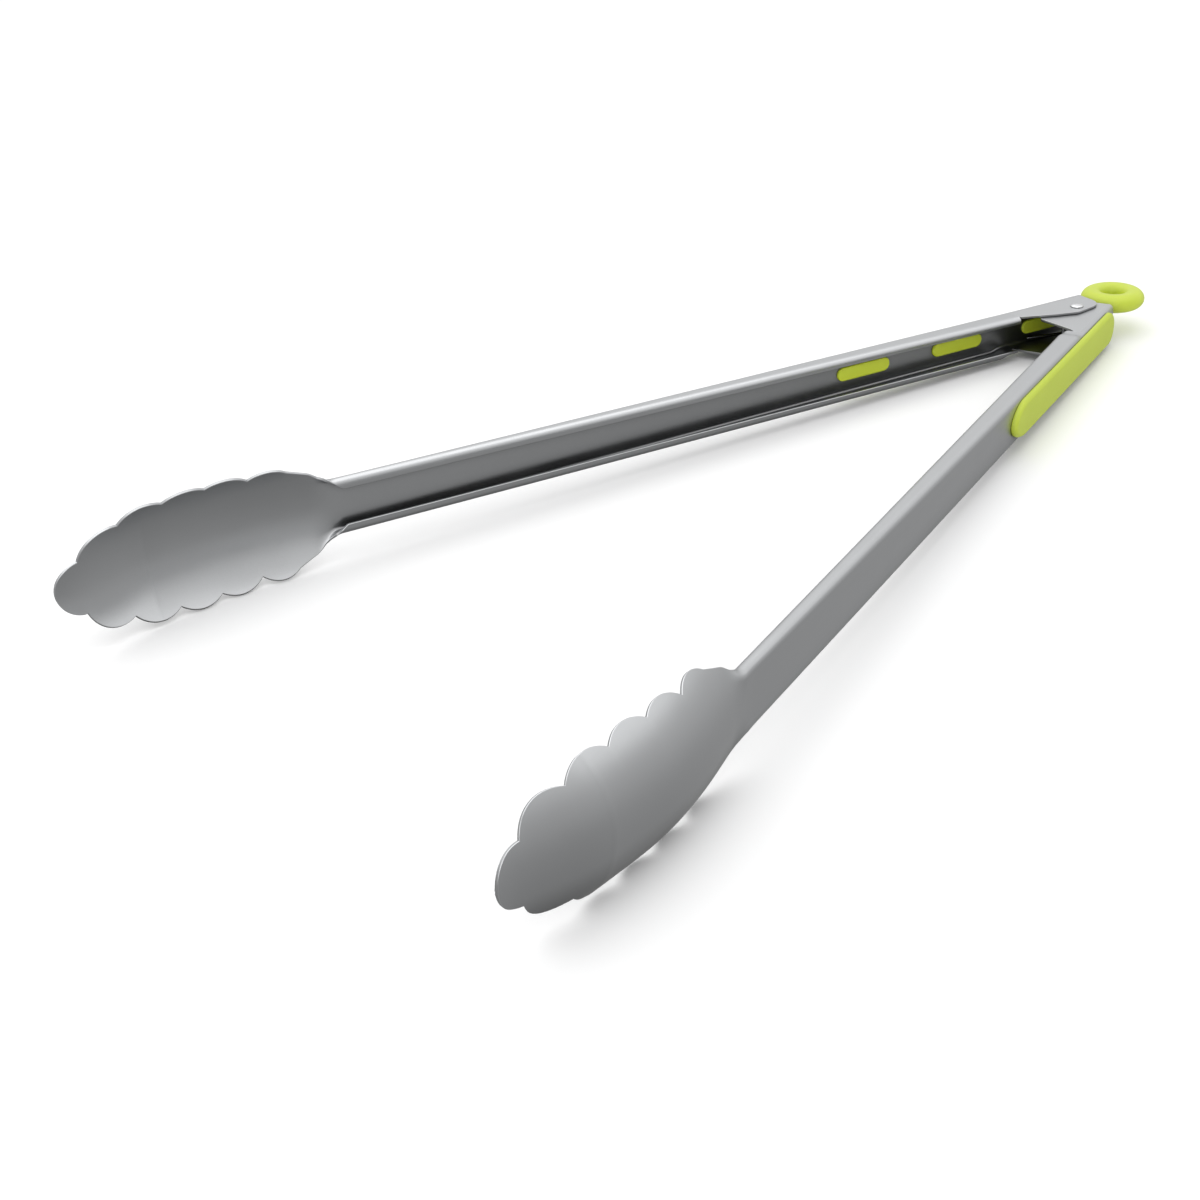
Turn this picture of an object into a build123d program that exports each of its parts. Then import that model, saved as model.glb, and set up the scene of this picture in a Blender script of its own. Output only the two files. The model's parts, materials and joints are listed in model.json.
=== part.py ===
from build123d import *
import math
import os

# Spring-loaded kitchen tongs, lying open on a counter.
# Units are millimetres.  +Z is up, the jaws point to -X and the pull ring to +X.
# The two steel arms are the same stamping, turned half a turn about X for the right side.
# The origin is the middle of the bounding box, at the counter.

# --- Driving dimensions -------------------------------------------------------------

HALF_OPENING = 15.61        # degrees between each arm and the middle plane, at rest
COUNTER_TILT = 1.95         # degrees: the wide jaws lift that end of the tongs
PIVOT_X = 170.22            # pivot axis ahead of the bounding box middle
PIVOT_Z = 8.95              # middle of the pivot above the counter

SHEET = 0.9                 # stamped steel thickness
FOLD_RADIUS = 2.0           # outside radius of the channel's folds

# Lipped channel: value at the pivot and growth per millimetre along the arm.
BACK_AT_PIVOT = 11.33
BACK_SLOPE = -0.00954
LIP_AT_PIVOT = 2.33
LIP_SLOPE = 0.0068
LIP_EDGE_AT_PIVOT = 5.14
LIP_EDGE_SLOPE = 0.00352
HALF_WIDTH_AT_PIVOT = 7.78
HALF_WIDTH_SLOPE = 0.00597
EAR_HALF_WIDTH = 7.95       # outer face of the plain ear
JOGGLE = 1.0                # the other ear is stepped in by one sheet and a clearance
JOGGLE_START = 28.0
JOGGLE_END = 33.0
CHANNEL_START = -10.0
LIP_START = 25.0
CHANNEL_END = 297.0

# Ears beside the pivot: corners (distance from the pivot, height) and their radii.
OUTER_EAR = [(27.5, 8.5), (24.5, 2.9), (12, -2.4), (3.5, -5.1), (-10, -2.5), (-10, 9)]
OUTER_EAR_RADII = [1, 3, 5, 6, 6, 1]
INNER_EAR = [(27.5, 8.5), (23, 4.6), (16, -9.3), (4, -8.2), (-10, -5), (-10, 9)]
INNER_EAR_RADII = [1, 1, 2, 6, 6, 1]
EAR_CUT_HEIGHT = 7.0        # the channel's walls give way to the ears below this height
EAR_CUT_CORNER = 5.0        # and slant down to this height where the lips start

# Neck and jaw
JAW_RADIUS = 28.0           # the jaw is nearly part of a cylinder of this radius across
JAW_WIDE = 22.0             # half width of the sheet before the outline trims it
JAW_CUPPING = 0.97          # 0 is folded like the channel and 1 is a full cylinder
NECK_CUPPING = 0.5          # the middle of the neck is half way between the two
# Each station is (distance from the pivot, height of the back line, half width).
NECK_MIDDLE = (301.5, 8.7, 12.4)
JAW_BEFORE_CREASE = [
    (306.5, 9.05, 14.0),
    (313.0, 9.8, 18.0),
    (320.0, 10.55, JAW_WIDE),
    (327.0, 11.0, JAW_WIDE),
    (334.0, 11.05, JAW_WIDE),
    (341.0, 10.4, JAW_WIDE),
    (348.0, 9.3, JAW_WIDE),
    (355.0, 8.0, JAW_WIDE),
    (362.0, 6.7, JAW_WIDE),
]
JAW_AFTER_CREASE = [
    (362.0, 6.7, JAW_WIDE),
    (366.0, 5.2, JAW_WIDE),
    (370.0, 3.4, JAW_WIDE),
    (374.0, 1.4, JAW_WIDE),
    (378.0, -0.6, JAW_WIDE),
    (382.0, -2.5, JAW_WIDE),
    (386.0, -4.05, JAW_WIDE),
    (393.0, -5.6, JAW_WIDE),
]
# Outline of the jaw, as (distance from the pivot, half width): the straight flare out of
# the neck, a round shoulder, then the valleys with the height of the arc after each one.
FLARE_START = (300.0, 10.9)
FLARE_END = (315.0, 17.0)
SHOULDER = (322.4, 19.0)
VALLEYS = [(327.3, 17.0), (341.1, 18.3), (354.8, 17.9), (369.3, 15.6), (383.2, 8.8)]
SCALLOP_RISE = [2.2, 2.1, 2.8, 3.3]
TIP_SHOULDER = (389.0, 5.9)
JAW_TIP = (391.4, 0.0)

# Grip and its tabs
GRIP_START = -7.0
GRIP_SHOULDER = 95.0
GRIP_END = 106.0
GRIP_HALF_WIDTH = 6.6
GRIP_THICKNESS = 2.2
TAB_CENTRES = [6.0, 49.5, 93.0]
TAB_LENGTH = 23.5
TAB_HEIGHT = 5.5
TAB_PROUD = 0.8             # how far a tab stands inside the channel
TAB_CLEARANCE = 0.05
GRIP_NOSE = (103.8, 3.6)    # a point of the blunt curve that ends the grip
GRIP_ROUNDING = 1.65        # the pad's top edge is rounded over with this radius

# Pivot
RIVET_RADIUS = 1.5
RIVET_HEAD_RADIUS = 2.4
RIVET_HEAD_HEIGHT = 0.9
RIVET_HEAD_ROUNDING = 0.72
HEAD_GAP = 0.05
BORE_RADIUS = 1.56
SLEEVE_RADIUS = 2.5
SLEEVE_CLEARANCE = 0.05     # to the rivet inside it and to the ears at its ends

# Torsion spring
WIRE_RADIUS = 0.6
COIL_RADIUS = 3.9
COIL_BOTTOM = -3.8
COIL_TOP = 3.2
FULL_TURNS = 4
LEG_REACH = (15.0, 9.3)     # leg end, in the arm's own axes

# Lock
LOCK_TRAVEL = 2.4
PLATE_BOTTOM = 4.25
PLATE_THICKNESS = 1.0
PLATE_HALF_WIDTH = 4.6
PLATE_NOSE = -10.2
PLATE_TAIL = 18.6
TAIL_HALF_WIDTH = 2.6
TAPER_START = 8.5           # the plate narrows to its tail between these two
TAPER_END = 11.5
PLATE_RADII = [3, 2, 1, 1, 1, 1, 2, 3]
SLOT_CLEARANCE = 0.15
PIN_RADIUS = 0.8
PIN_DISTANCE = 7.9          # far enough ahead to clear the coil when the ring is pulled
PIN_END_GAP = 0.1           # short of the inner faces of the stepped ears

# Pull ring
RING_CENTRE_X = 25.7
RING_RADIUS = 12.1
RING_HOLE_RADIUS = 4.1
RING_HALF_THICKNESS = 3.5
RING_LAND = 1.2             # half height of the straight wall inside the hole
RING_START = (0.35, 1)      # direction of the ring's curve as it leaves the land
RING_FINISH = (-0.35, 1)    # and as it comes back to it


# --- Frames ---------------------------------------------------------------------------

tilt = math.radians(COUNTER_TILT)
pivot_frame = Plane(
    origin=(PIVOT_X, 0, PIVOT_Z),
    x_dir=(math.cos(tilt), 0, -math.sin(tilt)),
    z_dir=(math.sin(tilt), 0, math.cos(tilt)),
)
upright = Plane(
    origin=pivot_frame.origin,
    x_dir=pivot_frame.x_dir,
    z_dir=-pivot_frame.y_dir,
)


def arm_frame(side):
    """Axes of one arm: X from pivot to jaw, Y out through the back wall."""
    opening = math.radians(HALF_OPENING)
    along = pivot_frame.y_dir * (side * math.sin(opening)) - pivot_frame.x_dir * math.cos(opening)
    return Plane(origin=pivot_frame.origin, x_dir=along, z_dir=pivot_frame.z_dir * -side)


left_frame = arm_frame(1)
right_frame = arm_frame(-1)


# --- Stamped arm ------------------------------------------------------------------------

def station_plane(distance):
    """Plane across the arm: its X runs across the channel and its Y out through the back."""
    return Plane(origin=(distance, 0, 0), x_dir=(0, 0, 1), z_dir=(-1, 0, 0))


def back_height(distance):
    return BACK_AT_PIVOT + BACK_SLOPE * distance


def lip_height(distance):
    return LIP_AT_PIVOT + LIP_SLOPE * distance


def lip_edge(distance):
    return LIP_EDGE_AT_PIVOT + LIP_EDGE_SLOPE * distance


def half_width(distance):
    return max(EAR_HALF_WIDTH, HALF_WIDTH_AT_PIVOT + HALF_WIDTH_SLOPE * distance)


def channel_section(distance, step_in, inset):
    """Rounded box across the channel, stepped in on one side and inset by a sheet if asked."""
    wide = half_width(distance)
    low = lip_height(distance) + inset
    high = back_height(distance) - inset
    left = -wide + inset
    right = wide - step_in - inset
    middle = ((left + right) / 2, (low + high) / 2)
    with BuildSketch(station_plane(distance)) as section:
        with Locations(middle):
            RectangleRounded(right - left, high - low, FOLD_RADIUS - inset)
    return section.sketch


def channel_sections(inset):
    """The four stations of the straight channel, from the ears to the neck."""
    return [
        channel_section(CHANNEL_START - inset, JOGGLE, inset),
        channel_section(JOGGLE_START, JOGGLE, inset),
        channel_section(JOGGLE_END, 0, inset),
        channel_section(CHANNEL_END + inset, 0, inset),
    ]


def mouth_section(distance):
    """Open side of the channel between the two lips."""
    low = lip_height(distance) - SHEET
    high = lip_height(distance) + 2 * SHEET
    with BuildSketch(station_plane(distance)) as section:
        with Locations((0, (low + high) / 2)):
            Rectangle(2 * lip_edge(distance), high - low)
    return section.sketch


def folded_point(share, inset, back):
    """Point of the channel's back and fold, a share of the way from its middle to its edge."""
    flat = half_width(CHANNEL_END) - FOLD_RADIUS
    travel = share * (flat + FOLD_RADIUS * math.pi / 2)
    angle = max(travel - flat, 0) / FOLD_RADIUS
    radius = FOLD_RADIUS - inset
    across = min(travel, flat) + radius * math.sin(angle)
    return Vector(across, back - FOLD_RADIUS + radius * math.cos(angle))


def cupped_point(share, inset, back, wide):
    """Point of the cupped jaw, a share of the way from its middle to its edge."""
    angle = math.asin(share * wide / JAW_RADIUS)
    radius = JAW_RADIUS - inset
    return Vector(radius * math.sin(angle), back - JAW_RADIUS + radius * math.cos(angle))


def face_line(points, flat):
    """One face of the sheet across the arm: an arc, the back (flat or an arc) and an arc."""
    ThreePointArc(*points[0:3])
    if flat:
        Line(points[2], points[4])
    else:
        ThreePointArc(*points[2:5])
    ThreePointArc(*points[4:7])


def sheet_section(distance, back, wide, cupping):
    """Section of the bare sheet, folded like the channel (0) or cupped like the jaw (1)."""
    flat = half_width(CHANNEL_END) - FOLD_RADIUS
    corner = flat / (flat + FOLD_RADIUS * math.pi / 2)
    faces = []
    for inset in (0, SHEET):
        points = []
        for share in (0, corner, (corner + 1) / 2, 1):
            folded = folded_point(share, inset, back) * (1 - cupping)
            points.append(folded + cupped_point(share, inset, back, wide) * cupping)
        faces.append([Vector(-p.X, p.Y) for p in points[:0:-1]] + points)
    outer, inner = faces
    with BuildSketch(station_plane(distance)) as section:
        with BuildLine():
            face_line(outer, cupping == 0)
            Line(outer[-1], inner[-1])
            face_line(inner[::-1], cupping == 0)
            Line(inner[0], outer[0])
        make_face()
    return section.sketch


def jaw_outline():
    """Scalloped outline of the jaw, with room for the whole neck behind it."""
    neck = (CHANNEL_START, JAW_WIDE)
    with BuildSketch(Plane.XZ) as outline:
        with BuildLine() as edge:
            Polyline(neck, (FLARE_START[0], JAW_WIDE), FLARE_START, FLARE_END)
            ThreePointArc(FLARE_END, SHOULDER, VALLEYS[0])
            for start, end, rise in zip(VALLEYS, VALLEYS[1:], SCALLOP_RISE):
                SagittaArc(start, end, rise)
            ThreePointArc(VALLEYS[-1], TIP_SHOULDER, JAW_TIP)
            mirror(edge.line, about=Plane.XZ)
            Line(neck, (neck[0], -neck[1]))
        make_face()
    return outline.sketch


def ear_plate(points, radii, level):
    """Flat ear: a rounded outline beside the pivot, one sheet thick from the given level."""
    with BuildPart() as plate:
        with BuildSketch(Plane.XY.offset(level)):
            with BuildLine():
                FilletPolyline(*points, radius=radii, close=True)
            make_face()
        extrude(amount=SHEET)
    return plate.part


back_slope = math.atan(BACK_SLOPE)
back_plane = Plane(
    origin=(0, BACK_AT_PIVOT, 0),
    x_dir=(math.cos(back_slope), math.sin(back_slope), 0),
    z_dir=(-math.sin(back_slope), math.cos(back_slope), 0),
)

neck = [
    sheet_section(CHANNEL_END, back_height(CHANNEL_END), half_width(CHANNEL_END), 0),
    sheet_section(*NECK_MIDDLE, NECK_CUPPING),
]
near = [sheet_section(*station, JAW_CUPPING) for station in JAW_BEFORE_CREASE]
far = [sheet_section(*station, JAW_CUPPING) for station in JAW_AFTER_CREASE]

with BuildPart() as jaw:
    loft(sections=neck + near, ruled=True)
    loft(sections=far, ruled=True)
    extrude(jaw_outline(), amount=2 * JAW_WIDE, both=True, mode=Mode.INTERSECT)

with BuildPart() as stamping:
    loft(sections=channel_sections(0), ruled=True)
    loft(sections=channel_sections(SHEET), ruled=True, mode=Mode.SUBTRACT)
    loft(sections=[mouth_section(LIP_START), mouth_section(CHANNEL_END + 1)], mode=Mode.SUBTRACT)
    # No lips beside the pivot: everything below the fold is cut away there.
    with BuildSketch(Plane.XY):
        with BuildLine():
            Polyline(
                (CHANNEL_START - 1, 0),
                (LIP_START, 0),
                (LIP_START, EAR_CUT_CORNER),
                (LIP_START + EAR_CUT_CORNER - EAR_CUT_HEIGHT, EAR_CUT_HEIGHT),
                (CHANNEL_START - 1, EAR_CUT_HEIGHT),
                close=True,
            )
        make_face()
    extrude(amount=2 * EAR_HALF_WIDTH, both=True, mode=Mode.SUBTRACT)
    add(ear_plate(OUTER_EAR, OUTER_EAR_RADII, -EAR_HALF_WIDTH))
    add(ear_plate(INNER_EAR, INNER_EAR_RADII, EAR_HALF_WIDTH - JOGGLE - SHEET))
    add(jaw.part)
    # Pivot bore through both ears.
    with BuildSketch(Plane.XY):
        Circle(BORE_RADIUS)
    extrude(amount=2 * EAR_HALF_WIDTH, both=True, mode=Mode.SUBTRACT)
    # Windows in the back wall for the grip's tabs.
    with BuildSketch(back_plane):
        with Locations(*[(centre, 0) for centre in TAB_CENTRES]):
            SlotOverall(TAB_LENGTH, TAB_HEIGHT)
    extrude(amount=1.5 * SHEET, both=True, mode=Mode.SUBTRACT)

with BuildPart() as arm_left:
    add(stamping.part.moved(left_frame.location))
arm_left.part.label = "arm_left"

with BuildPart() as arm_right:
    add(stamping.part.moved(right_frame.location))
arm_right.part.label = "arm_right"


# --- Grips ------------------------------------------------------------------------------

with BuildPart() as pad:
    with BuildSketch(back_plane):
        with BuildLine() as edge:
            start = (GRIP_START, 0)
            corner = (GRIP_START + GRIP_HALF_WIDTH, GRIP_HALF_WIDTH)
            shoulder = (GRIP_SHOULDER, GRIP_HALF_WIDTH)
            RadiusArc(start, corner, GRIP_HALF_WIDTH)
            Line(corner, shoulder)
            ThreePointArc(shoulder, GRIP_NOSE, (GRIP_END, 0))
            mirror(edge.line, about=Plane.XZ)
        make_face()
    extrude(amount=GRIP_THICKNESS)
    fillet(pad.faces().sort_by(Axis.Y)[-1].edges(), radius=GRIP_ROUNDING)
    with BuildSketch(back_plane):
        with Locations(*[(centre, 0) for centre in TAB_CENTRES]):
            SlotOverall(TAB_LENGTH - 2 * TAB_CLEARANCE, TAB_HEIGHT - 2 * TAB_CLEARANCE)
    extrude(amount=-(SHEET + TAB_PROUD))

with BuildPart() as grip_left:
    add(pad.part.moved(left_frame.location))
grip_left.part.label = "grip_left"

with BuildPart() as grip_right:
    add(pad.part.moved(right_frame.location))
grip_right.part.label = "grip_right"


# --- Rivet and sleeve --------------------------------------------------------------------

seat = EAR_HALF_WIDTH + HEAD_GAP
with BuildPart() as pivot_rivet:
    with BuildSketch(pivot_frame.offset(-seat)):
        Circle(RIVET_RADIUS)
    extrude(amount=2 * seat)
    for end in (1, -1):
        with BuildSketch(pivot_frame.offset(end * seat)):
            Circle(RIVET_HEAD_RADIUS)
        extrude(amount=end * RIVET_HEAD_HEIGHT)
    along = Axis(pivot_frame.origin, pivot_frame.z_dir)
    rims = pivot_rivet.edges().filter_by(GeomType.CIRCLE).sort_by(along)
    fillet([rims[0], rims[-1]], radius=RIVET_HEAD_ROUNDING)
pivot_rivet.part.label = "pivot_rivet"

sleeve_half = EAR_HALF_WIDTH - JOGGLE - SHEET - SLEEVE_CLEARANCE
with BuildPart() as pivot_sleeve:
    with BuildSketch(pivot_frame.offset(-sleeve_half)):
        Circle(SLEEVE_RADIUS)
        Circle(RIVET_RADIUS + SLEEVE_CLEARANCE, mode=Mode.SUBTRACT)
    extrude(amount=2 * sleeve_half)
pivot_sleeve.part.label = "pivot_sleeve"


# --- Torsion spring ------------------------------------------------------------------------

opening = math.radians(HALF_OPENING)
leg_x = LEG_REACH[1] * math.sin(opening) - LEG_REACH[0] * math.cos(opening)
leg_y = LEG_REACH[0] * math.sin(opening) + LEG_REACH[1] * math.cos(opening)
leg_distance = math.hypot(leg_x, leg_y)
leg_bearing = math.degrees(math.atan2(leg_y, leg_x))
leg_length = math.sqrt(leg_distance ** 2 - COIL_RADIUS ** 2)
wrap_start = leg_bearing - math.degrees(math.acos(COIL_RADIUS / leg_distance))
wrap = 360 * FULL_TURNS + 2 * wrap_start
coil_height = COIL_TOP - COIL_BOTTOM
coil_frame = Plane(
    origin=pivot_frame.offset(COIL_BOTTOM).origin,
    x_dir=pivot_frame.x_dir.rotate(Axis((0, 0, 0), pivot_frame.z_dir), wrap_start),
    z_dir=pivot_frame.z_dir,
)
coil = Helix(360 * coil_height / wrap, coil_height, COIL_RADIUS, lefthand=True)
coil = coil.moved(coil_frame.location)
left_end = coil @ 0 - (coil % 0) * leg_length
right_end = coil @ 1 + (coil % 1) * leg_length
with BuildPart() as torsion_spring:
    with BuildLine() as wire:
        Line(left_end, coil @ 0)
        add(coil)
        Line(coil @ 1, right_end)
    with BuildSketch(Plane(origin=left_end, z_dir=coil % 0)):
        Circle(WIRE_RADIUS)
    sweep(path=wire.wire())
torsion_spring.part.label = "torsion_spring"


# --- Lock ----------------------------------------------------------------------------------

with BuildPart() as lock_plate:
    with BuildSketch(pivot_frame.offset(PLATE_BOTTOM)):
        with BuildLine():
            FilletPolyline(
                (PLATE_NOSE, -PLATE_HALF_WIDTH),
                (TAPER_START, -PLATE_HALF_WIDTH),
                (TAPER_END, -TAIL_HALF_WIDTH),
                (PLATE_TAIL, -TAIL_HALF_WIDTH),
                (PLATE_TAIL, TAIL_HALF_WIDTH),
                (TAPER_END, TAIL_HALF_WIDTH),
                (TAPER_START, PLATE_HALF_WIDTH),
                (PLATE_NOSE, PLATE_HALF_WIDTH),
                radius=PLATE_RADII,
                close=True,
            )
        make_face()
        with Locations((-LOCK_TRAVEL / 2, 0)):
            SlotCenterToCenter(
                LOCK_TRAVEL, 2 * (SLEEVE_RADIUS + SLOT_CLEARANCE), mode=Mode.SUBTRACT
            )
        with Locations((-PIN_DISTANCE, 0)):
            Circle(PIN_RADIUS, mode=Mode.SUBTRACT)
    extrude(amount=PLATE_THICKNESS)
lock_plate.part.label = "lock_plate"

pin_half = EAR_HALF_WIDTH - JOGGLE - SHEET - PIN_END_GAP
with BuildPart() as lock_pin:
    with BuildSketch(pivot_frame.offset(-pin_half)):
        with Locations((-PIN_DISTANCE, 0)):
            Circle(PIN_RADIUS)
    extrude(amount=2 * pin_half)
lock_pin.part.label = "lock_pin"


# --- Pull ring -------------------------------------------------------------------------------

ring_level = PLATE_BOTTOM + PLATE_THICKNESS / 2
ring_middle = (RING_RADIUS + RING_HOLE_RADIUS) / 2
with BuildPart() as pull_ring:
    with BuildSketch(upright):
        with BuildLine():
            land_low = (RING_CENTRE_X + RING_HOLE_RADIUS, ring_level - RING_LAND)
            land_high = (RING_CENTRE_X + RING_HOLE_RADIUS, ring_level + RING_LAND)
            crown = (RING_CENTRE_X + ring_middle, ring_level + RING_HALF_THICKNESS)
            rim = (RING_CENTRE_X + RING_RADIUS, ring_level)
            foot = (RING_CENTRE_X + ring_middle, ring_level - RING_HALF_THICKNESS)
            Line(land_low, land_high)
            Spline(land_high, crown, rim, foot, land_low, tangents=(RING_START, RING_FINISH))
        make_face()
    ring_axis = Axis(upright.from_local_coords(Vector(RING_CENTRE_X, 0)), upright.y_dir)
    revolve(axis=ring_axis)
    # The plate's tail is moulded into the ring.
    add(lock_plate.part, mode=Mode.SUBTRACT)
pull_ring.part.label = "pull_ring"


# --- Export ------------------------------------------------------------------------------------

os.makedirs("parts", exist_ok=True)
export_step(arm_left.part, "parts/arm_left.step")
export_step(arm_right.part, "parts/arm_right.step")
export_step(grip_left.part, "parts/grip_left.step")
export_step(grip_right.part, "parts/grip_right.step")
export_step(pivot_rivet.part, "parts/pivot_rivet.step")
export_step(pivot_sleeve.part, "parts/pivot_sleeve.step")
export_step(torsion_spring.part, "parts/torsion_spring.step")
export_step(lock_plate.part, "parts/lock_plate.step")
export_step(lock_pin.part, "parts/lock_pin.step")
export_step(pull_ring.part, "parts/pull_ring.step")
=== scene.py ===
import json
import math

import bpy
import numpy as np
from mathutils import Matrix, Vector


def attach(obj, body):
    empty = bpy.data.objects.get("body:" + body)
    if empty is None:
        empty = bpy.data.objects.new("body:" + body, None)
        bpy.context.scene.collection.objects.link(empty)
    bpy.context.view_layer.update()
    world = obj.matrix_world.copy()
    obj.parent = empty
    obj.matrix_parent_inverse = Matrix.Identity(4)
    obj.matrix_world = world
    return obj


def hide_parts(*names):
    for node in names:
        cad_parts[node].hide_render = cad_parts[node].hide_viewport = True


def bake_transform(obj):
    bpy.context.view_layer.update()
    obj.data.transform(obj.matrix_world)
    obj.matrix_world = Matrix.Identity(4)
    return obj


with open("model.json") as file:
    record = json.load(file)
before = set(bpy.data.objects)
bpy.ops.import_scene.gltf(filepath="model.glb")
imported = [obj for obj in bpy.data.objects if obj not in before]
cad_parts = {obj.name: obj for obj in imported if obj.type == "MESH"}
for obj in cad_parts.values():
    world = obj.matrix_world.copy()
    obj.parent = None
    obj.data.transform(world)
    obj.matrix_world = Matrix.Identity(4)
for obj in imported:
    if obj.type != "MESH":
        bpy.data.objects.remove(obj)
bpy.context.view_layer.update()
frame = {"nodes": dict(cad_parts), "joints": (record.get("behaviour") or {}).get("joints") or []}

# Spring-loaded kitchen tongs.  Lengths are millimetres in each part's own axes and are
# turned into metres when a mesh is made.
# Arm axes: u runs from the pivot to the jaw, v out through the back wall, w across.

MM = 0.001
HALF_OPENING = math.radians(15.61)

# --- Sizes of the stamped arm -----------------------------------------------------------

SHEET = 0.9
FOLD = 2.0
RIM = 0.14                  # chamfer along a cut edge
EAR_HALF_WIDTH = 7.95
JOGGLE = 1.0
LIP_START = 25.0
EAR_END = -10.0
CUT_START = 297.4           # the lips are cut away from here
CUT_END = 303.0
NECK_TRAVEL = 11.2          # what is left of the half section past the cut
FLARE_START = 299.0         # the section opens out between these two
FLARE_END = 308.5
JAW_RADIUS = 28.0
CREASE = 362.0
CREASE_SOFTNESS = 1.3

# Height of the back line along the neck and the jaw, before and after the crease.
BACK_NEAR = [(285, 8.61), (292, 8.54), (297, 8.53), (301.5, 8.7), (306.5, 9.05), (313, 9.8),
             (320, 10.5), (327, 10.85), (334, 10.86), (341, 10.35), (348, 9.3), (355, 8.0),
             (362, 6.63)]
BACK_FAR = [(362, 6.63), (366, 5.2), (370, 3.4), (374, 1.4), (378, -0.6), (382, -2.5),
            (386, -4.05), (393, -5.6)]

# Half width of the jaw: flare, shoulder, scallops and tip.
FLARE_WIDTH = [(290, 13.0), (305, 13.0), (315, 17.0)]
VALLEYS = [(327.3, 17.0), (341.1, 18.3), (354.8, 17.9), (369.3, 15.6), (383.2, 8.8)]
SCALLOP_RISE = [2.2, 2.1, 2.8, 3.3]
SHOULDER = [(315.0, 17.0), (322.4, 19.0), (327.3, 17.0)]
TIP = [(383.2, 8.8), (389.0, 5.9), (391.3, 0.5)]

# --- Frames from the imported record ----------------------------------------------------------

joints = {joint["name"]: joint for joint in frame["joints"]}
pivot = Vector(joints["arm_swing"]["pos_m"])
up = -Vector(joints["arm_swing"]["axis"])
ahead = Vector(joints["lock_slide"]["axis"])
across = up.cross(ahead)


def axes_matrix(x, y, z, origin):
    """Matrix of the axes x, y and z placed at the origin given."""
    matrix = Matrix((x, y, z)).transposed().to_4x4()
    matrix.translation = origin
    return matrix


def arm_matrix(side):
    """Axes of one arm at rest: side is 1 for the left arm and -1 for the right one."""
    along = across * (side * math.sin(HALF_OPENING)) - ahead * math.cos(HALF_OPENING)
    outward = ahead * math.sin(HALF_OPENING) + across * (side * math.cos(HALF_OPENING))
    return axes_matrix(along, outward, along.cross(outward), pivot)


pivot_matrix = axes_matrix(ahead, across, up, pivot)
arm_matrices = {"left": arm_matrix(1), "right": arm_matrix(-1)}


OWN_AXES = "own_axes"       # where each point lies in its part's own axes, for the textures


# --- Material helpers ---------------------------------------------------------------------

# Painted shade: the steel's colour is darkened in corners and inside the channel, where other
# surfaces close in on it.
CORNER_REACH = 20 * MM
CORNER_CLOSED = 0.3         # share of open sky at which a corner is darkest
CORNER_OPEN = 0.85
CORNER_SHADE = 0.3


def new_material(name, color, metallic, roughness):
    """Node material with its shader set, and the shader."""
    material = bpy.data.materials.new(name)
    material.use_nodes = True
    shader = material.node_tree.nodes["Principled BSDF"]
    shader.inputs["Base Color"].default_value = (*color, 1)
    shader.inputs["Metallic"].default_value = metallic
    shader.inputs["Roughness"].default_value = roughness
    return material, shader


def noise(material, scale, stretch, detail=3.0):
    """Noise texture in the piece's own axes, stretched by the factors given."""
    nodes, links = material.node_tree.nodes, material.node_tree.links
    coordinates = nodes.new("ShaderNodeAttribute")
    coordinates.attribute_name = OWN_AXES
    mapping = nodes.new("ShaderNodeMapping")
    mapping.inputs["Scale"].default_value = stretch
    texture = nodes.new("ShaderNodeTexNoise")
    texture.inputs["Scale"].default_value = scale
    texture.inputs["Detail"].default_value = detail
    links.new(coordinates.outputs["Vector"], mapping.inputs["Vector"])
    links.new(mapping.outputs["Vector"], texture.inputs["Vector"])
    return texture.outputs["Fac"]


def spread(material, value, low, high):
    """The value between 0.3 and 0.7 mapped to low and high."""
    node = material.node_tree.nodes.new("ShaderNodeMapRange")
    node.inputs["From Min"].default_value = 0.3
    node.inputs["From Max"].default_value = 0.7
    node.inputs["To Min"].default_value = low
    node.inputs["To Max"].default_value = high
    material.node_tree.links.new(value, node.inputs["Value"])
    return node.outputs["Result"]


def blend_colors(material, factor, first, second):
    """Colour between two constants."""
    node = material.node_tree.nodes.new("ShaderNodeMix")
    node.data_type = "RGBA"
    node.inputs["A"].default_value = (*first, 1)
    node.inputs["B"].default_value = (*second, 1)
    material.node_tree.links.new(factor, node.inputs["Factor"])
    return node.outputs["Result"]


def paint_corner_shade(material, color):
    """The colour with painted shade: darker where the piece is closed in by other surfaces."""
    nodes, links = material.node_tree.nodes, material.node_tree.links
    occlusion = nodes.new("ShaderNodeAmbientOcclusion")
    occlusion.samples = 8
    occlusion.inputs["Distance"].default_value = CORNER_REACH
    shade = nodes.new("ShaderNodeMapRange")
    shade.inputs["From Min"].default_value = CORNER_CLOSED
    shade.inputs["From Max"].default_value = CORNER_OPEN
    shade.inputs["To Min"].default_value = CORNER_SHADE
    links.new(occlusion.outputs["AO"], shade.inputs["Value"])
    scaled = nodes.new("ShaderNodeVectorMath")
    scaled.operation = "SCALE"
    links.new(color, scaled.inputs["Vector"])
    links.new(shade.outputs["Result"], scaled.inputs["Scale"])
    return scaled.outputs["Vector"]


def add_bump(material, shader, height, strength, distance):
    """Bump from a height, in metres."""
    node = material.node_tree.nodes.new("ShaderNodeBump")
    node.inputs["Strength"].default_value = strength
    node.inputs["Distance"].default_value = distance
    material.node_tree.links.new(height, node.inputs["Height"])
    material.node_tree.links.new(node.outputs["Normal"], shader.inputs["Normal"])


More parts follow.
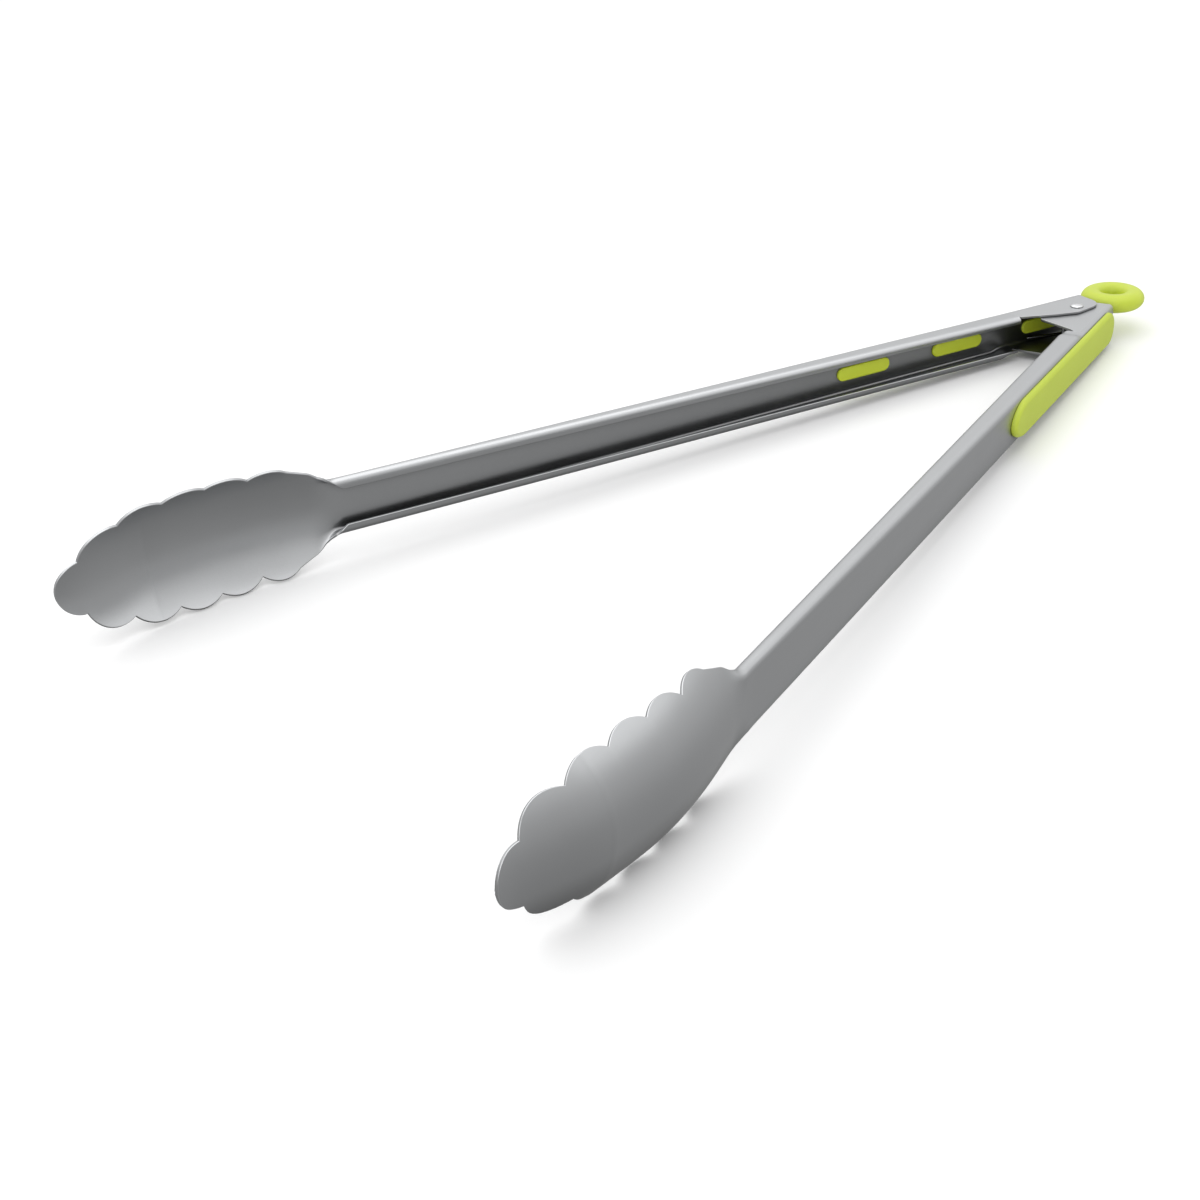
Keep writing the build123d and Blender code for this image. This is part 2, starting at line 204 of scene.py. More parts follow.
def edge_highlight(material, width):
    """About 1 along edges, where a painted highlight goes, and 0 on flat faces."""
    nodes, links = material.node_tree.nodes, material.node_tree.links
    bevel = nodes.new("ShaderNodeBevel")
    bevel.inputs["Radius"].default_value = width
    geometry = nodes.new("ShaderNodeNewGeometry")
    product = nodes.new("ShaderNodeVectorMath")
    product.operation = "DOT_PRODUCT"
    ramp = nodes.new("ShaderNodeMapRange")
    ramp.inputs["From Min"].default_value = 0.99
    ramp.inputs["From Max"].default_value = 0.8
    links.new(bevel.outputs["Normal"], product.inputs[0])
    links.new(geometry.outputs["Normal"], product.inputs[1])
    links.new(product.outputs["Value"], ramp.inputs["Value"])
    return ramp.outputs["Result"]


def steel(name, color, roughness, grain, depth):
    """Brushed stainless steel with its grain along the arm, a painted highlight along its edges
    and painted shade in its corners.
    """
    material, shader = new_material(name, color, 1.0, roughness)
    streaks = noise(material, 1.0, grain)
    clouds = noise(material, 90.0, (1, 1, 1), 4.0)
    links = material.node_tree.links
    mixed = material.node_tree.nodes.new("ShaderNodeMath")
    mixed.operation = "ADD"
    links.new(spread(material, streaks, -0.02, 0.02), mixed.inputs[0])
    links.new(spread(material, clouds, roughness - 0.03, roughness + 0.03), mixed.inputs[1])
    links.new(mixed.outputs["Value"], shader.inputs["Roughness"])
    # Painted highlight: the colour is lightened along the edges.
    bright = tuple(min(1.0, channel * 1.35) for channel in color)
    highlighted = blend_colors(material, edge_highlight(material, 0.25 * MM), color, bright)
    # Painted shade: the colour is darkened where other surfaces close it in.
    links.new(paint_corner_shade(material, highlighted), shader.inputs["Base Color"])
    add_bump(material, shader, streaks, 0.35, depth)
    return material


def moulded(name, color, shade, roughness, grain):
    """Moulded silicone or plastic: faint mottling, fine surface grain, softened edges."""
    material, shader = new_material(name, color, 0.0, roughness)
    mottle = noise(material, 70.0, (1, 1, 1), 5.0)
    fine = noise(material, grain, (1, 1, 1), 2.0)
    links = material.node_tree.links
    links.new(blend_colors(material, mottle, shade, color), shader.inputs["Base Color"])
    links.new(spread(material, fine, roughness - 0.05, roughness + 0.05),
              shader.inputs["Roughness"])
    shader.inputs["Subsurface Weight"].default_value = 0.15
    shader.inputs["Subsurface Radius"].default_value = (0.004, 0.005, 0.001)
    shader.inputs["Subsurface Scale"].default_value = 0.3
    add_bump(material, shader, fine, 0.25, 0.00003)
    return material


ALONG_GRAIN = (60, 2500, 2500)
arm_steel = steel("arm_steel", (0.56, 0.57, 0.58), 0.33, ALONG_GRAIN, 0.000005)
ear_steel = steel("ear_steel", (0.58, 0.59, 0.6), 0.34, ALONG_GRAIN, 0.000005)
rivet_steel = steel("rivet_steel", (0.78, 0.79, 0.8), 0.12, (500, 500, 500), 0.000006)
spring_steel = steel("spring_wire", (0.42, 0.43, 0.44), 0.25, (900, 900, 900), 0.00001)
plate_steel = steel("plate_steel", (0.55, 0.56, 0.57), 0.34, (80, 2500, 900), 0.000012)
silicone = moulded("grip_silicone", (0.50, 0.60, 0.05), (0.47, 0.565, 0.042), 0.45, 2500.0)
# The pads' silicone, painted lighter on the tabs to stand in for the light falling on them.
painted_bright_tab_silicone = moulded("painted_bright_tab_silicone", (0.74, 0.86, 0.05), (0.7, 0.82, 0.042), 0.45, 2500.0)
ring_plastic = moulded("ring_plastic", (0.54, 0.64, 0.055), (0.51, 0.61, 0.048), 0.36, 3500.0)


# --- Mesh helpers ---------------------------------------------------------------------------

def add_piece(name, mesh, matrix, material, sharp):
    """Object from a mesh in its own axes, put in place, with those axes kept for textures."""
    mesh.validate()
    own = mesh.attributes.new(OWN_AXES, "FLOAT_VECTOR", "POINT")
    places = np.zeros(len(mesh.vertices) * 3, np.float32)
    mesh.vertices.foreach_get("co", places)
    own.data.foreach_set("vector", places)
    mesh.transform(matrix)
    mesh.shade_smooth()
    mesh.set_sharp_from_angle(angle=math.radians(sharp))
    mesh.materials.clear()
    mesh.materials.append(material)
    piece = bpy.data.objects.new(name, mesh)
    bpy.context.scene.collection.objects.link(piece)
    return piece


def add_mesh(name, points, faces, matrix, material, sharp=32.0):
    """Smooth mesh from points in millimetres, sharp where faces meet above the angle."""
    mesh = bpy.data.meshes.new(name)
    mesh.from_pydata([tuple(point) for point in np.asarray(points, float) * MM], [], faces)
    return add_piece(name, mesh, matrix, material, sharp)


def ring_faces(rings, size):
    """Quads between consecutive rings of points, each ring closed on itself."""
    faces = []
    for row in range(rings - 1):
        here, there = row * size, (row + 1) * size
        for column in range(size):
            after = (column + 1) % size
            faces.append((here + column, here + after, there + after, there + column))
    return faces


def lathe(name, profile, matrix, material, steps=96, closed=False):
    """Mesh turned about its own Z from (radius, height) pairs, capped unless closed."""
    points = []
    for step in range(steps):
        angle = 2 * math.pi * step / steps
        for radius, height in profile:
            points.append((radius * math.cos(angle), radius * math.sin(angle), height))
    count = len(profile)
    faces = []
    for step in range(steps):
        here, there = step * count, (step + 1) % steps * count
        for index in range(count if closed else count - 1):
            after = (index + 1) % count
            faces.append((here + index, there + index, there + after, here + after))
    if not closed:
        faces.append([step * count for step in range(steps)][::-1])
        faces.append([step * count + count - 1 for step in range(steps)])
    return add_mesh(name, points, faces, matrix, material)


def arc(center, radius, start, end, count):
    """Points of an arc, from one angle in degrees to another."""
    angles = np.radians(np.linspace(start, end, count))
    return [(center[0] + radius * math.cos(a), center[1] + radius * math.sin(a)) for a in angles]


def rounded(corners, radii, count=7):
    """Closed outline with each corner rounded to its radius."""
    points = []
    for index, (corner, radius) in enumerate(zip(corners, radii)):
        here = Vector(corner)
        before = (Vector(corners[index - 1]) - here).normalized()
        after = (Vector(corners[(index + 1) % len(corners)]) - here).normalized()
        half = before.angle(after) / 2
        center = here + (before + after).normalized() * (radius / math.sin(half))
        start = here + before * (radius / math.tan(half)) - center
        end = here + after * (radius / math.tan(half)) - center
        for step in range(count):
            turned = start.slerp(end, step / (count - 1)).normalized() * radius
            points.append(tuple(center + turned))
    return points


def plate(name, loops, low, high, matrix, material, bevel=0.1):
    """Flat plate with rounded rims: the first loop is its outline and the rest are holes."""
    curve = bpy.data.curves.new(name, "CURVE")
    curve.dimensions = "2D"
    curve.fill_mode = "BOTH"
    curve.extrude = ((high - low) / 2 - bevel) * MM
    curve.bevel_depth = bevel * MM
    curve.bevel_resolution = 2
    curve.offset = -bevel * MM
    for loop in loops:
        spline = curve.splines.new("POLY")
        spline.points.add(len(loop) - 1)
        for point, (x, y) in zip(spline.points, loop):
            point.co = (x * MM, y * MM, 0, 1)
        spline.use_cyclic_u = True
    drawn = bpy.data.objects.new(name + "_curve", curve)
    bpy.context.scene.collection.objects.link(drawn)
    mesh = bpy.data.meshes.new_from_object(drawn.evaluated_get(
        bpy.context.evaluated_depsgraph_get()))
    bpy.data.objects.remove(drawn)
    mesh.name = name
    mesh.transform(Matrix.Translation((0, 0, (low + high) / 2 * MM)))
    return add_piece(name, mesh, matrix, material, 32)


# --- Shape of the stamped arm -----------------------------------------------------------------

def smoothstep(value, start, end):
    share = np.clip((value - start) / (end - start), 0, 1)
    return share * share * (3 - 2 * share)


def smooth_curve(stations, value):
    """Smooth curve through (position, height) pairs."""
    xs, ys = np.array(stations, float).T
    slopes = np.gradient(ys, xs)
    index = int(np.clip(np.searchsorted(xs, value) - 1, 0, len(xs) - 2))
    step = xs[index + 1] - xs[index]
    t = (value - xs[index]) / step
    bend = (1 - t) ** 2 * t * step * slopes[index] - t ** 2 * (1 - t) * step * slopes[index + 1]
    rise = t * t * (3 - 2 * t) * (ys[index + 1] - ys[index])
    return ys[index] + rise + bend


def back_height(u):
    if u < BACK_NEAR[0][0]:
        return 11.33 - 0.00954 * u
    far = smoothstep(u, CREASE - CREASE_SOFTNESS, CREASE + CREASE_SOFTNESS)
    near_height = smooth_curve(BACK_NEAR, min(u, CREASE + CREASE_SOFTNESS))
    far_height = smooth_curve(BACK_FAR, max(u, CREASE - CREASE_SOFTNESS))
    return near_height * (1 - far) + far_height * far


def lip_height(u):
    return 2.33 + 0.0068 * u


def lip_edge(u):
    return 5.14 + 0.00352 * u


def side_width(u, side):
    """Half width of the channel on one side; the side at +w is stepped in beside the pivot."""
    wide = max(EAR_HALF_WIDTH, 7.78 + 0.00597 * u)
    if side < 0:
        return wide
    return wide - JOGGLE * (1 - smoothstep(u, 28, 33))


def half_section(u, side):
    """Lengths of back, fold, wall, fold and lip on one side."""
    wide = side_width(u, side)
    bend = FOLD * math.pi / 2
    wall = max(back_height(u) - lip_height(u) - 2 * FOLD, 0)
    return [wide - FOLD, bend, wall, bend, wide - FOLD - lip_edge(u)]


def folded_point(u, side, travel):
    """Outer face of the channel at a distance travelled from the middle of its back."""
    flat, bend, wall, _, _ = half_section(u, side)
    wide = side_width(u, side)
    back = back_height(u)
    if travel < flat:
        return travel, back
    if travel < flat + bend:
        angle = (travel - flat) / FOLD
        return flat + FOLD * math.sin(angle), back - FOLD * (1 - math.cos(angle))
    travel -= flat + bend
    if travel < wall:
        return wide, back - FOLD - travel
    travel -= wall
    if travel < bend:
        angle = travel / FOLD
        return flat + FOLD * math.cos(angle), back - FOLD - wall - FOLD * math.sin(angle)
    return flat - (travel - bend), back - 2 * FOLD - wall


def circle_through(a, b, c):
    """Centre and radius of the circle through three points."""
    rows = 2 * np.array([np.subtract(b, a), np.subtract(c, a)])
    squares = [np.dot(b, b) - np.dot(a, a), np.dot(c, c) - np.dot(a, a)]
    center = np.linalg.solve(rows, squares)
    return center, float(np.hypot(*(center - a)))


def jaw_arcs():
    """The outline's arcs, as (start, middle, end)."""
    arcs = [SHOULDER]
    for start, end, rise in zip(VALLEYS, VALLEYS[1:], SCALLOP_RISE):
        chord = np.subtract(end, start)
        outward = np.array([-chord[1], chord[0]]) / np.hypot(*chord)
        arcs.append((start, np.add(start, end) / 2 + outward * rise, end))
    arcs.append(TIP)
    return [(a[0], a[2], *circle_through(*map(np.array, a))) for a in arcs]


ARCS = jaw_arcs()


def jaw_width(u):
    """Half width of the jaw's outline."""
    for start, end, center, radius in ARCS:
        if start[0] <= u <= end[0]:
            return center[1] + math.sqrt(max(radius ** 2 - (u - center[0]) ** 2, 0))
    xs, ys = np.array(FLARE_WIDTH).T
    return float(np.interp(u, xs, ys))


def jaw_stations():
    """Stations that follow the scallops, closer together where the outline turns."""
    stations = []
    for start, end, center, radius in ARCS:
        first = math.atan2(start[1] - center[1], start[0] - center[0])
        last = math.atan2(end[1] - center[1], end[0] - center[0])
        angles = np.linspace(first, last, 15)
        stations.extend(center[0] + radius * np.cos(angles))
    stations.extend(np.linspace(CREASE - 2, CREASE + 2, 9))
    return stations


def outer_row(u, count, limit=None):
    """Outer face of the arm at one station, from its far edge to its near edge."""
    halves = []
    opened = smoothstep(u, FLARE_START, FLARE_END)
    back = back_height(u)
    for side in (-1, 1):
        total = sum(half_section(u, side))
        cut = np.clip((u - CUT_START) / (CUT_END - CUT_START), 0, 1)
        total += (NECK_TRAVEL - total) * cut
        if limit:
            total = sum(half_section(u, side)[:2]) + limit
        points = []
        for share in np.linspace(0, 1, count):
            w, v = folded_point(u, side, share * total)
            if opened > 0:
                wide = share * jaw_width(u)
                drop = JAW_RADIUS - math.sqrt(JAW_RADIUS ** 2 - wide ** 2)
                w = w * (1 - opened) + wide * opened
                v = v * (1 - opened) + (back - drop) * opened
            points.append((u, v, side * w))
        halves.append(points)
    return halves[0][:0:-1] + halves[1]


def unit(vectors):
    return vectors / np.linalg.norm(vectors, axis=-1, keepdims=True)


def sheet_piece(name, stations, count, matrix, material, limit=None):
    """Bent sheet through the stations, with chamfered long edges."""
    outer = np.array([outer_row(u, count, limit) for u in stations])
    normals = unit(np.cross(np.gradient(outer, axis=0), np.gradient(outer, axis=1)))
    if normals[0, count - 1, 1] < 0:
        normals = -normals
    inner = outer - normals * SHEET
    rim = 0.0 if limit else RIM
    rims = []
    for column in (0, -1):
        edge, normal = outer[:, column].copy(), normals[:, column]
        run = unit(np.gradient(edge, axis=0))
        away = unit(np.cross(run, normal))
        inward = outer[:, 1] - edge if column == 0 else outer[:, -2] - edge
        away = np.where((away * inward).sum(1, keepdims=True) < 0, -away, away)
        outer[:, column] = edge + away * rim
        inner[:, column] = edge - normal * SHEET + away * rim
        rims.append((edge - normal * rim, edge - normal * (SHEET - rim)))
    rows = []
    for index in range(len(stations)):
        first, last = rims
        row = list(outer[index]) + [last[0][index], last[1][index]]
        row += list(inner[index][::-1]) + [first[1][index], first[0][index]]
        rows.append(row)
    size = len(rows[0])
    points = [point for row in rows for point in row]
    faces = ring_faces(len(rows), size)
    width = outer.shape[1]
    ends = (0, (len(rows) - 1) * size)
    for end, base in enumerate(ends):
        for column in range(width - 1):
            low = 2 * width + 1 - column
            quad = [base + column, base + column + 1, base + low - 1, base + low]
            faces.append(quad if end else quad[::-1])
        for corner in (width - 1, 2 * width + 1):
            quad = [base + (corner + step) % size for step in range(4)]
            faces.append(quad if end else quad[::-1])
    return add_mesh(name, points, faces, matrix, material)


def ear_loop(corners, radii):
    """Outline of an ear, with its top edge tucked just inside the fold."""
    top = [(27.4, back_height(27.4) - FOLD + 0.1), (EAR_END, back_height(EAR_END) - FOLD + 0.1)]
    return rounded([top[0]] + corners + [top[1]], [0.3] + radii + [0.3])


OUTER_EAR = [(24.5, 2.9), (12, -2.4), (3.5, -5.1), (EAR_END, -2.5)]
INNER_EAR = [(23, 4.6), (16, -9.3), (4, -8.2), (EAR_END, -5)]
TUCK = 0.01                 # the ears are this much thinner than the sheet they run into


def make_arm(side):
    """All the steel of one arm."""
    body, matrix = side + "_arm", arm_matrices[side]
    straight = list(np.linspace(LIP_START, 34, 13)) + list(np.linspace(40, 290, 26))
    neck = list(np.linspace(292, 315, 42))
    stations = sorted({round(float(u), 3) for u in straight + neck + jaw_stations()})
    blade = sheet_piece("arm_" + side + "_blade", stations, 37, matrix, arm_steel)
    spine = sheet_piece("arm_" + side + "_spine", np.linspace(EAR_END, LIP_START, 8), 19,
                        matrix, arm_steel, limit=0.5)
    bore = arc((0, 0), 1.56, 0, 350, 36)
    outer = plate("arm_" + side + "_plain_ear", [ear_loop(OUTER_EAR, [3, 5, 6, 6]), bore],
                  -EAR_HALF_WIDTH + TUCK, -EAR_HALF_WIDTH + SHEET - TUCK, matrix, ear_steel)
    inner = plate("arm_" + side + "_stepped_ear",
                  [ear_loop(INNER_EAR, [1, 2, 6, 6]), bore],
                  EAR_HALF_WIDTH - JOGGLE - SHEET + TUCK, EAR_HALF_WIDTH - JOGGLE - TUCK,
                  matrix, ear_steel)
    for piece in (blade, spine, outer, inner):
        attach(piece, body)
    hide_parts("arm_" + side)


# --- Grips -----------------------------------------------------------------------------------

GRIP_HALF_WIDTH = 6.6
GRIP_THICKNESS = 2.2
GRIP_ROUNDING = 1.65
GRIP_CURVE = 1.82           # exponent of the blunt end's curve
TAB_CENTRES = (6.0, 49.5, 93.0)
back_slope = math.atan(-0.00954)
back_matrix = axes_matrix(
    Vector((math.cos(back_slope), math.sin(back_slope), 0)),
    Vector((0, 0, -1)),
    Vector((-math.sin(back_slope), math.cos(back_slope), 0)),
    Vector((0, 11.33 * MM, 0)),
)


def grip_loop(inset, height):
    """Outline of the grip moved in by the inset, at a height above the back wall."""
    wide = GRIP_HALF_WIDTH - inset
    loop = [(x, y, height) for x, y in arc((-0.4, 0), wide, 90, 270, 25)]
    for x in np.linspace(6, 94, 12):
        loop.append((x, -wide, height))
    for angle in np.radians(np.linspace(-90, 90, 33)):
        share = abs(math.cos(angle)) ** (2 / GRIP_CURVE)
        rise = abs(math.sin(angle)) ** (2 / GRIP_CURVE)
        loop.append((95 + (11 - inset) * share, math.copysign(wide * rise, angle), height))
    for x in np.linspace(94, 6, 12):
        loop.append((x, wide, height))
    return loop


def grip_pad(name, matrix):
    """Pad with a rounded, slightly crowned face."""
    side = GRIP_THICKNESS - GRIP_ROUNDING - 0.12
    loops = [grip_loop(0.35, 0.0), grip_loop(0.06, 0.06), grip_loop(0, 0.25)]
    for angle in np.radians(np.linspace(0, 90, 10)):
        inset = GRIP_ROUNDING * (1 - math.cos(angle))
        loops.append(grip_loop(inset, side + GRIP_ROUNDING * math.sin(angle)))
    for inset, rise in ((2.6, 0.05), (3.8, 0.085), (5.2, 0.11), (6.4, 0.12)):
        loops.append(grip_loop(inset, side + GRIP_ROUNDING + rise))
    size = len(loops[0])
    points = [point for loop in loops for point in loop]
    faces = ring_faces(len(loops), size)
    last = (len(loops) - 1) * size
    faces.append([last + index for index in range(size)])
    faces.append(list(range(size))[::-1])
    return add_mesh(name, points, faces, matrix, silicone, sharp=50)


def stadium(center, length, width):
    """Outline of a slot with round ends."""
    reach, radius = (length - width) / 2, width / 2
    right = arc((center + reach, 0), radius, -90, 90, 15)
    return right + arc((center - reach, 0), radius, 90, 270, 15)


TAB_LENGTH = 23.4
TAB_WIDTH = 5.4
TAB_INSIDE = -SHEET - 0.8   # from the back wall's outer face
TAB_ROOT = -0.2
TAB_EDGE = 0.45


def make_grip(side):
    """The pad and its three tabs."""
    matrix = arm_matrices[side] @ back_matrix
    pad = grip_pad("grip_" + side + "_pad", matrix)
    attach(pad, side + "_arm")
    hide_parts("grip_" + side)
    for number, center in enumerate(TAB_CENTRES, 1):
        tab = plate(f"grip_{side}_tab_{number}", [stadium(center, TAB_LENGTH, TAB_WIDTH)],
                    TAB_INSIDE, TAB_ROOT, matrix, painted_bright_tab_silicone, bevel=TAB_EDGE)
        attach(tab, side + "_arm")


# --- Pivot ------------------------------------------------------------------------------------

HEAD_SEAT = EAR_HALF_WIDTH + 0.02
HEAD_HEIGHT = 0.93
HEAD_RADIUS = 2.4
HEAD_RIM = 0.15             # height of the head's edge below its dome
HEAD_EDGE = 0.08
SHANK_RADIUS = 1.5
SLEEVE_INNER = 1.55
SLEEVE_OUTER = 2.5
SLEEVE_HALF = 6.0
SLEEVE_EDGE = 0.1


def make_rivet():
    """Shank with a domed head at each end, and its sleeve."""
    seat, radius, crown = HEAD_SEAT, HEAD_RADIUS, HEAD_HEIGHT - HEAD_RIM
    dome = [(0.02, seat + HEAD_HEIGHT)]
    for angle in np.radians(np.linspace(80, 0, 9)):
        dome.append((radius * math.cos(angle), seat + HEAD_RIM + crown * math.sin(angle)))
    dome += [(radius, seat + HEAD_EDGE), (radius - HEAD_EDGE, seat), (SHANK_RADIUS, seat)]
    profile = dome + [(r, -z) for r, z in dome[::-1]]
    rivet = lathe("pivot_rivet", profile[::-1], pivot_matrix, rivet_steel, 64)
    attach(rivet, "pivot")
    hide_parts("pivot_rivet")
    half, edge = SLEEVE_HALF, SLEEVE_EDGE
    outline = [(SLEEVE_INNER, edge - half), (SLEEVE_INNER + edge, -half),
               (SLEEVE_OUTER - edge, -half), (SLEEVE_OUTER, edge - half)]
    outline += [(radius, -height) for radius, height in outline[::-1]]
    sleeve = lathe("pivot_sleeve", outline, pivot_matrix, plate_steel, 48, closed=True)
    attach(sleeve, "pivot")
    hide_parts("pivot_sleeve")


COIL_RADIUS = 3.9
COIL_LOW = -3.8
COIL_HIGH = 3.2
COIL_TURNS = 4
COIL_POINTS = 190
LEG_REACH = (15.0, 9.3)     # where a leg ends, along the arm and out towards its back
WIRE_RADIUS = 0.6
WIRE_END_RADIUS = 0.5
WIRE_SIDES = 14


def spring_path():
    """Centre line of the torsion spring: a leg, the coil and the other leg."""
    reach = LEG_REACH
    leg_x = reach[1] * math.sin(HALF_OPENING) - reach[0] * math.cos(HALF_OPENING)
    leg_y = reach[0] * math.sin(HALF_OPENING) + reach[1] * math.cos(HALF_OPENING)
    distance = math.hypot(leg_x, leg_y)
    start = math.atan2(leg_y, leg_x) - math.acos(COIL_RADIUS / distance)
    turn = 2 * math.pi * COIL_TURNS + 2 * start
    length = math.sqrt(distance ** 2 - COIL_RADIUS ** 2)
    coil = []
    for share in np.linspace(0, 1, COIL_POINTS):
        angle = start - turn * share
        coil.append((COIL_RADIUS * math.cos(angle), COIL_RADIUS * math.sin(angle),
                     COIL_LOW + (COIL_HIGH - COIL_LOW) * share))
    coil = np.array(coil)
    leave, arrive = unit(coil[0] - coil[1]), unit(coil[-1] - coil[-2])
    first = [coil[0] + leave * length * share for share in (1, 0.97, 0.66, 0.33)]
    second = [coil[-1] + arrive * length * share for share in (0.33, 0.66, 0.97, 1)]
    return np.vstack([first, coil, second])


def make_spring():
    """Round wire along the path, reaching from one arm round the coil to the other."""
    path = spring_path()
    runs = unit(np.gradient(path, axis=0))
    points = []
    for index, (center, run) in enumerate(zip(path, runs)):
        first = unit(np.cross(run, (0, 0, 1)))
        second = np.cross(run, first)
        radius = WIRE_END_RADIUS if index in (0, len(path) - 1) else WIRE_RADIUS
        for angle in np.linspace(0, 2 * math.pi, WIRE_SIDES, endpoint=False):
            points.append(center + radius * (first * math.cos(angle) + second * math.sin(angle)))
    faces = ring_faces(len(path), WIRE_SIDES)
    faces.append(list(range(WIRE_SIDES))[::-1])
    faces.append([len(points) - WIRE_SIDES + index for index in range(WIRE_SIDES)])
    spring = add_mesh("torsion_spring_wire", points, faces, pivot_matrix, spring_steel, 50)
    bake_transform(spring)
    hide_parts("torsion_spring")


# --- Lock and pull ring --------------------------------------------------------------------------

LOCK_TRAVEL = 2.4
PLATE_LOW = 4.25
PLATE_HIGH = 5.25
PLATE_OUTLINE = [(-10.2, -4.6), (8.5, -4.6), (11.5, -2.6), (18.6, -2.6),
                 (18.6, 2.6), (11.5, 2.6), (8.5, 4.6), (-10.2, 4.6)]
PLATE_RADII = [3, 2, 1, 1, 1, 1, 2, 3]
PLATE_SLOT_RADIUS = 2.65
RING_DISTANCE = 25.7
RING_RADIUS = 8.1           # to the middle of the section
RING_REACH = 4              # half the width of the section
RING_RISE = 3.5             # half its height
RING_FULLNESS = 0.62        # below 1 squares the section towards the hole
PIN_RADIUS = 0.8
PIN_DISTANCE = 7.9
PIN_EDGE = 0.15
PIN_HALF = EAR_HALF_WIDTH - JOGGLE - SHEET - 0.12


def make_lock():
    """Sliding plate, its pin and the pull ring moulded onto its tail."""
    slot = arc((0, 0), PLATE_SLOT_RADIUS, -90, 90, 15)
    slot += arc((-LOCK_TRAVEL, 0), PLATE_SLOT_RADIUS, 90, 270, 15)
    hole = arc((-PIN_DISTANCE, 0), PIN_RADIUS, 0, 345, 24)
    sliding = plate("lock_plate", [rounded(PLATE_OUTLINE, PLATE_RADII), slot, hole],
                    PLATE_LOW, PLATE_HIGH, pivot_matrix, plate_steel)
    profile = [(0.05, -PIN_HALF), (PIN_RADIUS - PIN_EDGE, -PIN_HALF),
               (PIN_RADIUS, PIN_EDGE - PIN_HALF), (PIN_RADIUS, PIN_HALF - PIN_EDGE),
               (PIN_RADIUS - PIN_EDGE, PIN_HALF), (0.05, PIN_HALF)]
    away = pivot_matrix @ Matrix.Translation((-PIN_DISTANCE * MM, 0, 0))
    pin = lathe("lock_pin", profile, away, rivet_steel, 32)
    level = (PLATE_LOW + PLATE_HIGH) / 2
    section = []
    for angle in np.linspace(0, 2 * math.pi, 56, endpoint=False):
        turn = math.cos(angle)
        reach = turn if turn > 0 else -abs(turn) ** RING_FULLNESS
        section.append((RING_RADIUS + RING_REACH * reach, RING_RISE * math.sin(angle)))
    center = pivot_matrix @ Matrix.Translation((RING_DISTANCE * MM, 0, level * MM))
    ring = lathe("pull_ring", section, center, ring_plastic, 128, closed=True)
    for piece, slot_name in ((sliding, "plate_steel"), (pin, "rivet_steel"),
                             (ring, "ring_plastic")):
        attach(piece, "lock")
        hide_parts(piece.name)


# Names of the shown pieces may not clash with the hidden CAD nodes.
for node in frame["nodes"].values():
    node.name = "cad_" + node.name

for arm_side in ("left", "right"):
    make_arm(arm_side)
    make_grip(arm_side)
make_rivet()
make_spring()
make_lock()


# --- Floor, light and camera -----------------------------------------------------------------

WORLD_BELOW = 0.28
WORLD_ABOVE = 1.0
WORLD_STEPS = [(0.26, 0.35), (0.5, 0.5), (0.75, 0.8)]      # share of the way up, brightness
BRIGHT_SIDE = (0.9, 0.43, 0.0)
SIDE_LOW = 0.8
SIDE_HIGH = 1.2


def make_floor():
    """Plain pale floor under the tongs."""
    bpy.ops.mesh.primitive_plane_add(size=14, location=(0, 0, -0.0001))
    floor = bpy.context.object
    floor.name = "floor"
    material, shader = new_material("floor_paper", (0.93, 0.93, 0.93), 0.0, 0.9)
    tone = blend_colors(material, noise(material, 3.0, (1, 1, 1)), (0.93,) * 3, (0.94,) * 3)
    material.node_tree.links.new(tone, shader.inputs["Base Color"])
    shader.inputs["Specular IOR Level"].default_value = 0.1
    floor.data.materials.append(material)
    floor.visible_glossy = False


def area_light(name, position, size, power):
    """Soft square light aimed at the origin."""
    light = bpy.data.lights.new(name, "AREA")
    light.shape = "SQUARE"
    light.size = size
    light.energy = power
    lamp = bpy.data.objects.new(name, light)
    bpy.context.scene.collection.objects.link(lamp)
    lamp.location = position
    lamp.rotation_euler = (-Vector(position)).to_track_quat("-Z", "Y").to_euler()


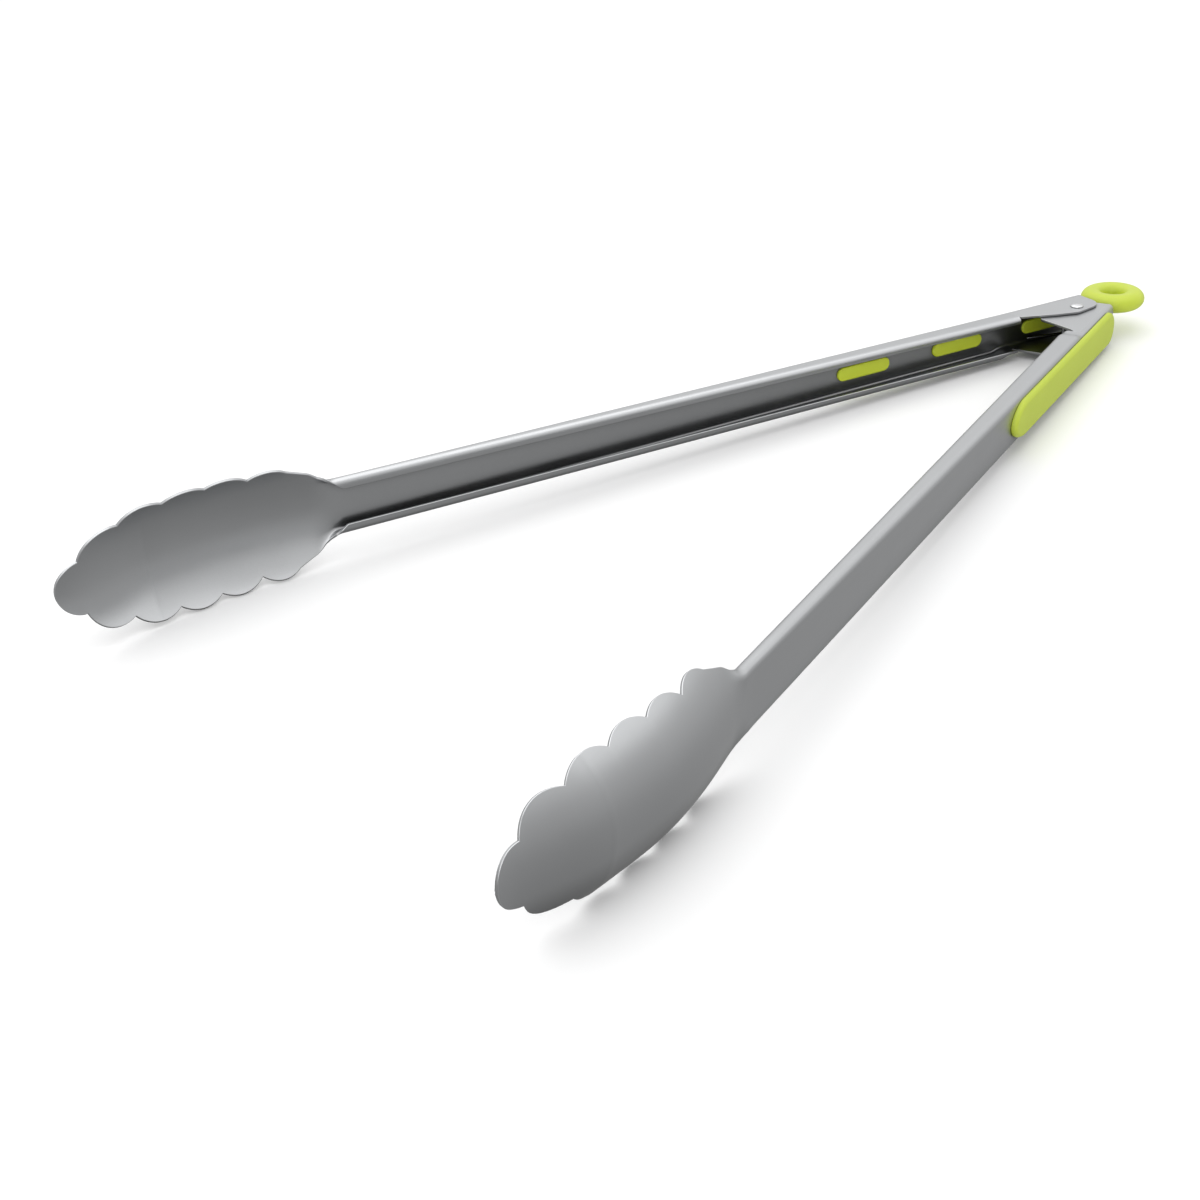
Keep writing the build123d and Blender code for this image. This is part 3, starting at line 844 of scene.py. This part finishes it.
def make_world():
    """Pale surroundings: bright overhead, greyer below, and lighter on the ring's side."""
    world = bpy.data.worlds.new("studio")
    bpy.context.scene.world = world
    world.use_nodes = True
    nodes, links = world.node_tree.nodes, world.node_tree.links
    direction = nodes.new("ShaderNodeTexCoord")
    split = nodes.new("ShaderNodeSeparateXYZ")
    links.new(direction.outputs["Generated"], split.inputs["Vector"])
    height = nodes.new("ShaderNodeMapRange")
    height.inputs["From Min"].default_value = -1.0
    links.new(split.outputs["Z"], height.inputs["Value"])
    ramp = nodes.new("ShaderNodeValToRGB")
    ramp.color_ramp.interpolation = "EASE"
    first, last = ramp.color_ramp.elements
    first.color, last.color = (*(WORLD_BELOW,) * 3, 1), (*(WORLD_ABOVE,) * 3, 1)
    for position, level in WORLD_STEPS:
        element = ramp.color_ramp.elements.new(position)
        element.color = (level, level, level, 1)
    links.new(height.outputs["Result"], ramp.inputs["Fac"])
    facing = nodes.new("ShaderNodeVectorMath")
    facing.operation = "DOT_PRODUCT"
    facing.inputs[1].default_value = BRIGHT_SIDE
    links.new(direction.outputs["Generated"], facing.inputs[0])
    strength = nodes.new("ShaderNodeMapRange")
    strength.inputs["From Min"].default_value = -1.0
    strength.inputs["To Min"].default_value = SIDE_LOW
    strength.inputs["To Max"].default_value = SIDE_HIGH
    links.new(facing.outputs["Value"], strength.inputs["Value"])
    background = nodes["Background"]
    links.new(ramp.outputs["Color"], background.inputs["Color"])
    links.new(strength.outputs["Result"], background.inputs["Strength"])


def make_camera():
    """Camera of the reference view, set up about the pivot."""
    camera = bpy.data.cameras.new("camera")
    camera.sensor_width = 36
    camera.lens = 49.51
    camera.clip_start, camera.clip_end = 0.02, 30
    eye = bpy.data.objects.new("camera", camera)
    bpy.context.scene.collection.objects.link(eye)
    right = Vector((0.72500, -0.68696, -0.04971))
    forward = Vector((0.58651, 0.65360, -0.47835))
    local = axes_matrix(right, right.cross(forward), -forward,
                        Vector((-0.54574, -0.32457, 0.22153)))
    eye.matrix_world = pivot_matrix @ local
    bpy.context.scene.camera = eye


bpy.context.scene.view_settings.view_transform = "Standard"
make_floor()
make_world()
area_light("top", (-0.1, 0.3, 1.3), 2.2, 11)
area_light("key", (0.9, -0.9, 1.0), 1.2, 1.5)
area_light("fill", (-1.2, -0.9, 0.7), 1.2, 4)
make_camera()
